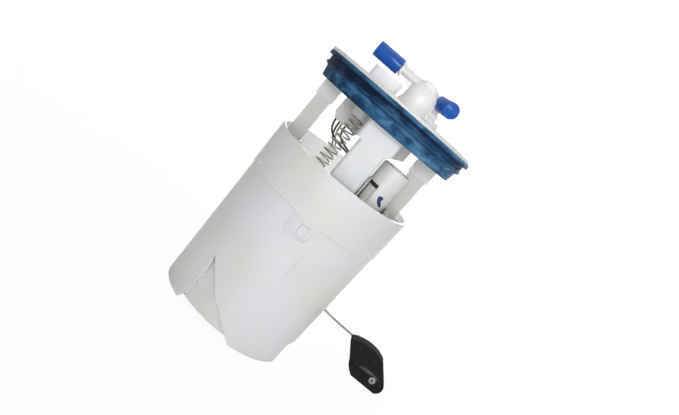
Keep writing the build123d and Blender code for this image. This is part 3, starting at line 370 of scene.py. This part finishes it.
# Each piece's finish and slot, and the width of its rounded edges.
PUMP_FINISHES = (
    ("pump_can", plated_steel, "pump_steel", 0.0003),
    ("pump_inlet_cover", die_cast, "aluminium", 0.0003),
    ("pump_channel_plate", die_cast, "aluminium", 0.0),
    ("lower_bush", sintered, "bronze", 0.0002),
    ("upper_bush", sintered, "bronze", 0.0002),
    ("impeller", phenolic, "dark_nylon", 0.0),
    ("armature_shaft", bright_steel, "steel_wire", 0.0002),
    ("armature_core", core_steel, "laminations", 0.0),
    ("armature_windings", enamelled_copper, "copper", 0.0003),
    ("commutator", enamelled_copper, "copper", 0.0),
    ("field_magnets", ferrite_grey, "ferrite", 0.0003),
    ("brushes", carbon_black, "carbon", 0.0002),
    ("pump_outlet_cover", dark_moulding, "black_plastic", 0.0002),
    ("pump_plug", dark_moulding, "black_plastic", 0.0003),
)
for name, material, slot, edge in PUMP_FINISHES:
    dress(name, material, edge, True)

# Isolator boot. Rubber moulded with fine ribs round it, pushed onto the pump's top; it keeps the
# pump's noise from the bucket.
RIB_SCALE = 200.0
# Grey rubber, moulded: dull, with painted shade in the grooves between its ribs and painted light on their
# crests. The scale sets the ribs 1.6 mm apart.
boot_rubber, tree = blank("ribbed_isolator_rubber")
place = add(tree, "ShaderNodeTexCoord", {})
ribs = add(tree, "ShaderNodeTexWave", {"bands_direction": "Z", "Scale": RIB_SCALE},
           [("Vector", place, "Object")])
tone = add(tree, "ShaderNodeValToRGB", {}, [("Fac", ribs, 1)])
tone.color_ramp.elements[0].color = colour("#747472")
tone.color_ramp.elements[1].color = colour("#BEBEBA")
relief = add(tree, "ShaderNodeBump", {"Strength": 0.6, "Distance": 0.0004}, [("Height", ribs, 1)])
skin = add(tree, "ShaderNodeBsdfPrincipled", {"Roughness": 0.6},
           [("Base Color", tone, 0), ("Normal", relief, 0)])
add(tree, "ShaderNodeOutputMaterial", {}, [("Surface", skin, 0)])
dress("isolator_boot", boot_rubber, 0.0003, True)

# Regulator and its housing. A plated steel regulator can in a white acetal cup, with its rubber
# seal showing in the cup's window, and an inspector's dab of blue ink on the cup's side.
# Acetal, moulded: white and satin, and light gets a little way into it.
white_acetal = two_tone("white_acetal_moulded", ("#E9EAE9", "#F1F1F1"), 0.02, 0.0009, 0.00003,
                        Roughness=0.34, IOR=1.48, Subsurface_Weight=0.7, Subsurface_Scale=0.005,
                        Subsurface_Radius=(1.0, 1.0, 0.97))
# The cup's acetal is slightly greener than that of the flange's fittings.
cup_acetal = two_tone("acetal_cup", ("#D3D6D3", "#DBDDDB"), 0.02, 0.0009, 0.00003,
                      Roughness=0.34, IOR=1.48, Subsurface_Weight=0.2, Subsurface_Scale=0.001,
                      Subsurface_Radius=(1.0, 1.0, 0.97))
cup = dress("regulator_housing", cup_acetal, 0.0003, True)
# Painted shade on its flat top: a dull grey, which shows as a thin dark line along its front edge.
cup.data.materials.append(two_tone("acetal_cup_painted_shade_top", ("#86837E", "#96938E"), 0.006, 0.0009, 0.00003,
                                   Roughness=0.6))
CUP_TOP = max(vertex.co.z for vertex in cup.data.vertices)
TOP_DEPTH, UPWARDS = 0.0002, 0.9
for face in cup.data.polygons:
    if face.normal.z > UPWARDS and face.center.z > CUP_TOP - TOP_DEPTH:
        face.material_index = 1
# Zinc plating, passivated, with a faint grey-green bloom.
passivated_zinc = two_tone("passivated_zinc_plating", ("#DCE0DA", "#E8ECE6"), 0.004, 0.0005, 0.00002,
                           Metallic=0.15, Roughness=0.42)
dress("pressure_regulator", passivated_zinc, 0.0002, True)
dress("regulator_seal", nitrile, 0.0004, True)

# The dab's outline on the cup: angles in degrees from the cup's front, and heights.
HOUSING_AT = Vector((0.0272, -0.0100, 0.0))
HOUSING_R = 0.0114
INK = [(18.0, 0.1461), (27.0, 0.1463), (30.0, 0.1450), (27.0, 0.1436), (33.0, 0.1420), (41.0, 0.1406),
       (44.0, 0.1396), (38.0, 0.1388), (27.0, 0.1396), (17.0, 0.1412), (11.0, 0.1430), (9.0, 0.1447),
       (12.0, 0.1458)]


def outlined(name, points, closed=True):
    """A thread of points drawn one by one: a first point, extruded to each of the others."""
    bpy.ops.mesh.primitive_plane_add(size=0.001, location=(0, 0, 0))
    made = bpy.context.object
    made.name = name
    bpy.ops.object.mode_set(mode="EDIT")
    bpy.ops.mesh.merge(type="CENTER")
    bpy.ops.transform.translate(value=Vector(points[0]))
    for before, here in zip(points, points[1:]):
        bpy.ops.mesh.extrude_vertices_move(TRANSFORM_OT_translate={"value": Vector(here) - Vector(before)})
    if closed:
        bpy.ops.mesh.select_all(action="SELECT")
        bpy.ops.mesh.edge_face_add()
    return made


def done(piece, material, slot, body, *replaced):
    """Closes a modelled piece: normals out, smooth skin, finish and body; its slot is not used."""
    bpy.ops.mesh.select_all(action="SELECT")
    bpy.ops.mesh.remove_doubles(threshold=0.00001)
    bpy.ops.mesh.normals_make_consistent(inside=False)
    bpy.ops.object.mode_set(mode="OBJECT")
    bpy.ops.object.shade_smooth_by_angle(angle=math.radians(34))
    piece.data.materials.append(material)
    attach(piece, body)
    if replaced:
        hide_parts(*replaced)
    bpy.ops.object.select_all(action="DESELECT")


# Marking ink, dabbed on by brush: dark blue and dull. The dab is drawn a little in front of the
# cup and then pressed onto it.
marking_ink = two_tone("blue_marking_ink", ("#141A4E", "#2A3474"), 0.0012, 0.0004, 0.00002,
                       Roughness=0.55)
INK_THICK, STAND_OFF = 0.00004, 0.001
drawn = [HOUSING_AT + Vector((HOUSING_R * math.sin(math.radians(angle)), -HOUSING_R - STAND_OFF, z))
         for angle, z in INK]
dab = outlined("ink_dab", drawn)
bpy.ops.mesh.poke()
bpy.ops.mesh.subdivide(number_cuts=3)
bpy.ops.object.mode_set(mode="OBJECT")
cling = dab.modifiers.new("cling", "SHRINKWRAP")
cling.target = nodes["regulator_housing"]
cling.wrap_method = "PROJECT"
cling.use_project_y = True
cling.offset = INK_THICK
film = dab.modifiers.new("film", "SOLIDIFY")
film.thickness = INK_THICK
for step in ("cling", "film"):
    bpy.ops.object.modifier_apply(modifier=step)
bpy.ops.object.mode_set(mode="EDIT")
done(dab, marking_ink, "blue_cap", "reservoir_unit")

# Filter column. A flat-fronted polypropylene housing with a welded bottom cap, and a pleated
# paper element inside.
# Polypropylene, moulded: white, milky, with a satin skin.
column_white = two_tone("polypropylene_column", ("#CBCCCF", "#D3D4D7"), 0.02, 0.0010, 0.00003,
                        Roughness=0.4, IOR=1.49, Subsurface_Weight=0.4, Subsurface_Scale=0.003)
dress("filter_housing", column_white, 0.0004, True)
dress("filter_bottom_cap", column_white, 0.0004, True)
# Resin-treated paper: buff, dry and fibrous.
filter_paper = two_tone("pleated_filter_paper", ("#C9B88C", "#D8C9A2"), 0.004, 0.0005, 0.0001,
                        Roughness=0.85)
dress("filter_element", filter_paper)

# Flange. A white acetal plate with the connector's shroud, the outlet tower and the riser on top,
# and tin-plated brass blades through it.
# Acetal, moulded: a slightly grey white, with a satin skin.
flange_white = two_tone("white_acetal_flange", ("#C7C8C7", "#CFD1D1"), 0.02, 0.0009, 0.00003,
                        Roughness=0.36, IOR=1.48, Subsurface_Weight=0.4, Subsurface_Scale=0.003,
                        Subsurface_Radius=(1.0, 1.0, 0.97))
dress("flange_plate", flange_white, 0.0003, True)
dress("connector_shroud", white_acetal, 0.0005, True)
dress("outlet_tower", white_acetal, 0.0006, True)
dress("riser_elbow", white_acetal, 0.0005, True)
# Brass, tin-plated: a soft silvery gloss.
tinned_brass = two_tone("tin_plated_brass", ("#A9A69C", "#C2BFB4"), 0.002, 0.0004, 0.00001,
                        Metallic=1.0, Roughness=0.3)
dress("connector_terminals", tinned_brass, 0.0001, True)

# Tank seal. A moulded fluorosilicone ring with an upper lip under the plate, a groove, and a
# second pointed lip below. It is stretched over the ring under the flange's plate.
PLATE_Z = 0.2025
RING_R = 0.0575
LIP_R = 0.0650
GROOVE_R = 0.0621
SEAL_Z = 0.1841
# Blue silicone rubber, moulded: matt, mottled with paler talc in patches of about 12 mm, and darker towards
# -X. Painted shade darkens it in bands along its height, under its lips and in its groove.
seal_rubber, tree = blank("blue_fluorosilicone_moulded")
place = add(tree, "ShaderNodeTexCoord", {})
spread = add(tree, "ShaderNodeMapping", {"Scale": (1.0, 1.0, 2.2)}, [("Vector", place, "Object")])
smear = add(tree, "ShaderNodeTexNoise",
            {"Scale": 80.0, "Detail": 5.0, "Roughness": 0.55, "Distortion": 0.4}, [("Vector", spread, 0)])
along = add(tree, "ShaderNodeSeparateXYZ", {}, [(0, place, "Object")])
side_shift = add(tree, "ShaderNodeMapRange",
           {"From Min": -0.060, "From Max": 0.005, "To Min": -0.14, "To Max": 0.03}, [("Value", along, 0)])
mottle_and_side_shift = add(tree, "ShaderNodeMath", {"operation": "ADD"}, [(0, side_shift, 0), (1, smear, 0)])
talc = add(tree, "ShaderNodeValToRGB", {}, [("Fac", mottle_and_side_shift, 0)])
talc.color_ramp.elements[0].position = 0.34
talc.color_ramp.elements[0].color = colour("#0F2F4C")
talc.color_ramp.elements[1].position = 0.78
talc.color_ramp.elements[1].color = colour("#6C92AC")
middle = talc.color_ramp.elements.new(0.52)
middle.color = colour("#315F87")
height = add(tree, "ShaderNodeMapRange", {"From Min": SEAL_Z, "From Max": PLATE_Z}, [("Value", along, 2)])
painted_fold_shade = add(tree, "ShaderNodeValToRGB", {}, [("Fac", height, 0)])
# Shares of the seal's height, and the painted shade that the talc's tones are multiplied by there.
PAINTED_FOLD_SHADES = ((0.0, "#C6CCD4"), (0.10, "#FFFFFF"), (0.43, "#E6EAEE"), (0.49, "#5E7086"), (0.54, "#F2F6FA"),
         (0.60, "#9CAABA"), (0.74, "#8496AC"), (0.80, "#43566C"), (0.85, "#8C9AAC"), (0.93, "#FFFFFF"))
painted_fold_shade.color_ramp.elements[0].position, painted_fold_shade.color_ramp.elements[1].position = PAINTED_FOLD_SHADES[0][0], PAINTED_FOLD_SHADES[-1][0]
for at, code in PAINTED_FOLD_SHADES[1:-1]:
    painted_fold_shade.color_ramp.elements.new(at)
for stop, (at, code) in zip(painted_fold_shade.color_ramp.elements, PAINTED_FOLD_SHADES):
    stop.color = colour(code)
tone = add(tree, "ShaderNodeMix", {"data_type": "RGBA", "blend_type": "MULTIPLY", 0: 1.0},
           [(6, talc, 0), (7, painted_fold_shade, 0)])
grain = add(tree, "ShaderNodeTexNoise", {"Scale": 1400.0, "Detail": 2.0}, [("Vector", place, "Object")])
relief = add(tree, "ShaderNodeBump", {"Strength": 0.3, "Distance": 0.00006}, [("Height", grain, 0)])
skin = add(tree, "ShaderNodeBsdfPrincipled", {"Roughness": 0.6, "Specular IOR Level": 0.12},
           [("Base Color", tone, 2), ("Normal", relief, 0)])
add(tree, "ShaderNodeOutputMaterial", {}, [("Surface", skin, 0)])

# The ring's section, as radii and heights.
SEAL = [(RING_R, PLATE_Z), (LIP_R - 0.0006, PLATE_Z), (LIP_R, PLATE_Z - 0.0006), (LIP_R, PLATE_Z - 0.0028),
        (LIP_R - 0.0005, PLATE_Z - 0.0033), (GROOVE_R + 0.0002, PLATE_Z - 0.0034),
        (GROOVE_R, PLATE_Z - 0.0037), (GROOVE_R, SEAL_Z + 0.0109), (GROOVE_R + 0.0006, SEAL_Z + 0.0104),
        (GROOVE_R + 0.0011, SEAL_Z + 0.0098), (GROOVE_R + 0.0008, SEAL_Z + 0.0091),
        (GROOVE_R - 0.0015, SEAL_Z + 0.0075), (RING_R + 0.0018, SEAL_Z + 0.0006),
        (RING_R + 0.0013, SEAL_Z), (RING_R - 0.0016, SEAL_Z), (RING_R - 0.0016, SEAL_Z + 0.00188),
        (RING_R, SEAL_Z + 0.00188)]


def lathed(name, profile, centre, axis, side, steps, closed):
    """A turned piece: its profile of (radius, height) points is drawn beside the axis and spun."""
    axis, side = Vector(axis).normalized(), Vector(side).normalized()
    points = [Vector(centre) + side * r + axis * h for r, h in profile]
    made = outlined(name, points + points[:1] if closed else points, closed=False)
    bpy.ops.mesh.select_all(action="SELECT")
    bpy.ops.mesh.remove_doubles(threshold=0.000001)
    bpy.ops.mesh.select_all(action="SELECT")
    bpy.ops.mesh.spin(steps=steps, angle=2 * math.pi, center=centre, axis=axis)
    return made


SEAL_STEPS = 160
seal = lathed("tank_seal_ring", SEAL, (0, 0, 0), (0, 0, 1), (1, 0, 0), SEAL_STEPS, True)
done(seal, seal_rubber, "blue_rubber", "flange_unit", "tank_seal")

# Transport caps. Two moulded push-on caps in blue polyethylene, straight-sided with flat ends, that
# keep dirt out of the nipples until the hoses go on.
# Polyethylene, moulded: a deep, even blue with a gloss.
cap_blue = two_tone("blue_polyethylene_moulded", ("#0F4DA4", "#1656AE"), 0.006, 0.0008, 0.000002,
                    Roughness=0.12, IOR=1.5, Specular_IOR_Level=0.34)
CAP_R = 0.00625
CAP_BORE = 0.00482
CAP_END = 0.002
CAP_STEPS = 64
NIPPLE_TURN = math.radians(25)
FRONT_NIPPLE = (math.sin(NIPPLE_TURN), -math.cos(NIPPLE_TURN), 0)
# Each cap's nipple, as its foot and direction, how far along it the cap starts, the cap's length
# and its body.
CAPS = (
    ("side_nipple_cap", (0.0063, -0.0060, 0.2238), (-1, 0, 0), 0.0249, 0.0220, "side_cap"),
    ("front_nipple_cap", (0.0188, 0.0120, 0.2238), FRONT_NIPPLE, 0.0056, 0.0185, "front_cap"),
)
for name, start, axis, near, length, body in CAPS:
    far = near + length
    profile = [(0, far), (CAP_R - 0.0007, far), (CAP_R - 0.0002, far - 0.0002), (CAP_R, far - 0.0007),
               (CAP_R, near + 0.0004), (CAP_R - 0.0003, near), (CAP_BORE + 0.0003, near),
               (CAP_BORE, near + 0.0003), (CAP_BORE, far - CAP_END), (0, far - CAP_END)]
    cap = lathed(name + "_shell", profile, start, axis, (0, 0, 1), CAP_STEPS, False)
    done(cap, cap_blue, "blue_cap", body, name)

# Guide legs. Two flat acetal bars that hang from the flange and slide in the collar's pockets.
# Acetal, moulded: a duller, warmer white than the plate's.
leg_acetal = two_tone("acetal_leg", ("#BDBCBA", "#C5C4C2"), 0.016, 0.0009, 0.00003,
                      Roughness=0.4, IOR=1.48, Subsurface_Weight=0.2, Subsurface_Scale=0.002)
dress("left_guide_leg", leg_acetal, 0.0003, True)
dress("right_guide_leg", leg_acetal, 0.0003, True)

# Return spring. Wound from 1.2 mm stainless wire, with closed ends; it sits on the bucket's post
# and presses the flange up.
# Stainless spring steel, drawn: a soft metallic gloss.
spring_wire = two_tone("drawn_spring_steel", ("#A6A39D", "#BFBDB7"), 0.003, 0.0003, 0.00001,
                       Metallic=1.0, Roughness=0.34)
SPRING_AT = (-0.0181, -0.0120)
COIL_R = 0.00515
SPRING_LOW, SPRING_HIGH = 0.1066, 0.1934
SPRING_WIRE_R = 0.0006
TURNS, DEAD_TURNS, KNOTS_A_TURN = 21, 1.2, 24
DEAD_PITCH = 0.0013
LIVE_PITCH = (SPRING_HIGH - SPRING_LOW - 2 * DEAD_TURNS * DEAD_PITCH) / (TURNS - 2 * DEAD_TURNS)
helix = bpy.data.curves.new("flange_spring_coil", "CURVE")
helix.dimensions = "3D"
wound = helix.splines.new("POLY")
wound.points.add(TURNS * KNOTS_A_TURN)
for k, knot in enumerate(wound.points):
    turns = k / KNOTS_A_TURN
    height = (min(turns, DEAD_TURNS) + max(turns - TURNS + DEAD_TURNS, 0)) * DEAD_PITCH
    height += max(min(turns, TURNS - DEAD_TURNS) - DEAD_TURNS, 0) * LIVE_PITCH
    angle = 2 * math.pi * turns
    knot.co = (SPRING_AT[0] + COIL_R * math.cos(angle), SPRING_AT[1] + COIL_R * math.sin(angle),
               SPRING_LOW + height, 1.0)
helix.bevel_depth = SPRING_WIRE_R
helix.bevel_resolution = 3
helix.use_fill_caps = True
spring = bpy.data.objects.new("flange_spring_coil", helix)
bpy.context.collection.objects.link(spring)
spring.select_set(True)
bpy.context.view_layer.objects.active = spring
bpy.ops.object.convert(target="MESH")
spring = bpy.context.object
bpy.ops.object.mode_set(mode="EDIT")
done(spring, spring_wire, "steel_wire", "reservoir_unit", "flange_spring")
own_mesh(spring)

# Level sender. A natural acetal tray clipped to the bucket's back, with a ceramic resistor card,
# a plug, and a springy wiper on the arm's hub, which shares the windings' copper finish.
dress("sender_housing", acetal, 0.0003, True)
dress("sender_plug", dark_moulding, 0.0003, True)
dress("float_arm_hub", acetal, 0.0003, True)
TRACK_SCALE = 170.0
# Printed ceramic: off-white, with dark tracks. The scale sets them 1.8 mm apart, coarser than the
# real ones, so that they show.
resistor_card, tree = blank("printed_resistor_ceramic")
place = add(tree, "ShaderNodeTexCoord", {})
fan = add(tree, "ShaderNodeTexWave", {"bands_direction": "X", "Scale": TRACK_SCALE, "Distortion": 0.6},
          [("Vector", place, "Object")])
tone = add(tree, "ShaderNodeValToRGB", {}, [("Fac", fan, 1)])
tone.color_ramp.elements[0].position = 0.45
tone.color_ramp.elements[0].color = colour("#2A2A30")
tone.color_ramp.elements[1].position = 0.55
tone.color_ramp.elements[1].color = colour("#D5D2C8")
skin = add(tree, "ShaderNodeBsdfPrincipled", {"Roughness": 0.45}, [("Base Color", tone, 0)])
add(tree, "ShaderNodeOutputMaterial", {}, [("Surface", skin, 0)])
dress("resistor_card", resistor_card)
dress("wiper", enamelled_copper, 0.0001, True)

# Float arm and float. A bent stainless wire, and a cam-shaped float in closed-cell nitrile that
# swivels on the wire's bent end and is held by a push nut.
# Stainless steel, drawn and polished: grey, with a sharp gloss.
arm_wire = two_tone("polished_stainless_wire", ("#74736F", "#8C8A86"), 0.003, 0.0003, 0.00001,
                    Metallic=1.0, Roughness=0.3)
dress("float_arm", arm_wire)
# Nitrile foam with closed cells: black and quite dull.
float_foam = two_tone("closed_cell_nitrile", ("#212122", "#272728"), 0.005, 0.0004, 0.00004,
                      Roughness=0.8, Specular_IOR_Level=0.02)
dress("float", float_foam, 0.0008, True)
# Over the wire's groove the float's face swells into a low moulded hump, with a glossier skin and a paler
# tone painted on as its highlight.
highlight_foam = two_tone("closed_cell_nitrile_painted_highlight", ("#2E2D2C", "#3A3937"), 0.004, 0.0006, 0.00002,
                     Roughness=0.34, Specular_IOR_Level=0.6)
FLOAT_FACE_Y, HUMP_RISE = 0.0502, 0.0010
HUMP_MIDDLE, HUMP_CREST = (0.1240, FLOAT_FACE_Y, 0.0203), (0.8, 1.0, 0.4)
HUMP = [(0.1115, 0.0192), (0.1155, 0.0209), (0.1195, 0.0221), (0.1240, 0.0227), (0.1285, 0.0225),
        (0.1325, 0.0216), (0.1360, 0.0203), (0.1381, 0.0194), (0.1336, 0.0205), (0.1304, 0.0210),
        (0.1272, 0.0201), (0.1245, 0.0190), (0.1180, 0.0190)]
hump = outlined("float_face_hump", [(x, FLOAT_FACE_Y, z) for x, z in HUMP])
bpy.ops.mesh.extrude_region_move(TRANSFORM_OT_translate={"value": Vector((0, -HUMP_RISE, 0))})
bpy.ops.transform.resize(value=HUMP_CREST, center_override=HUMP_MIDDLE)
done(hump, highlight_foam, "float_rubber", "float_unit")
dress("float_push_nut", bright_steel, 0.0002, True)
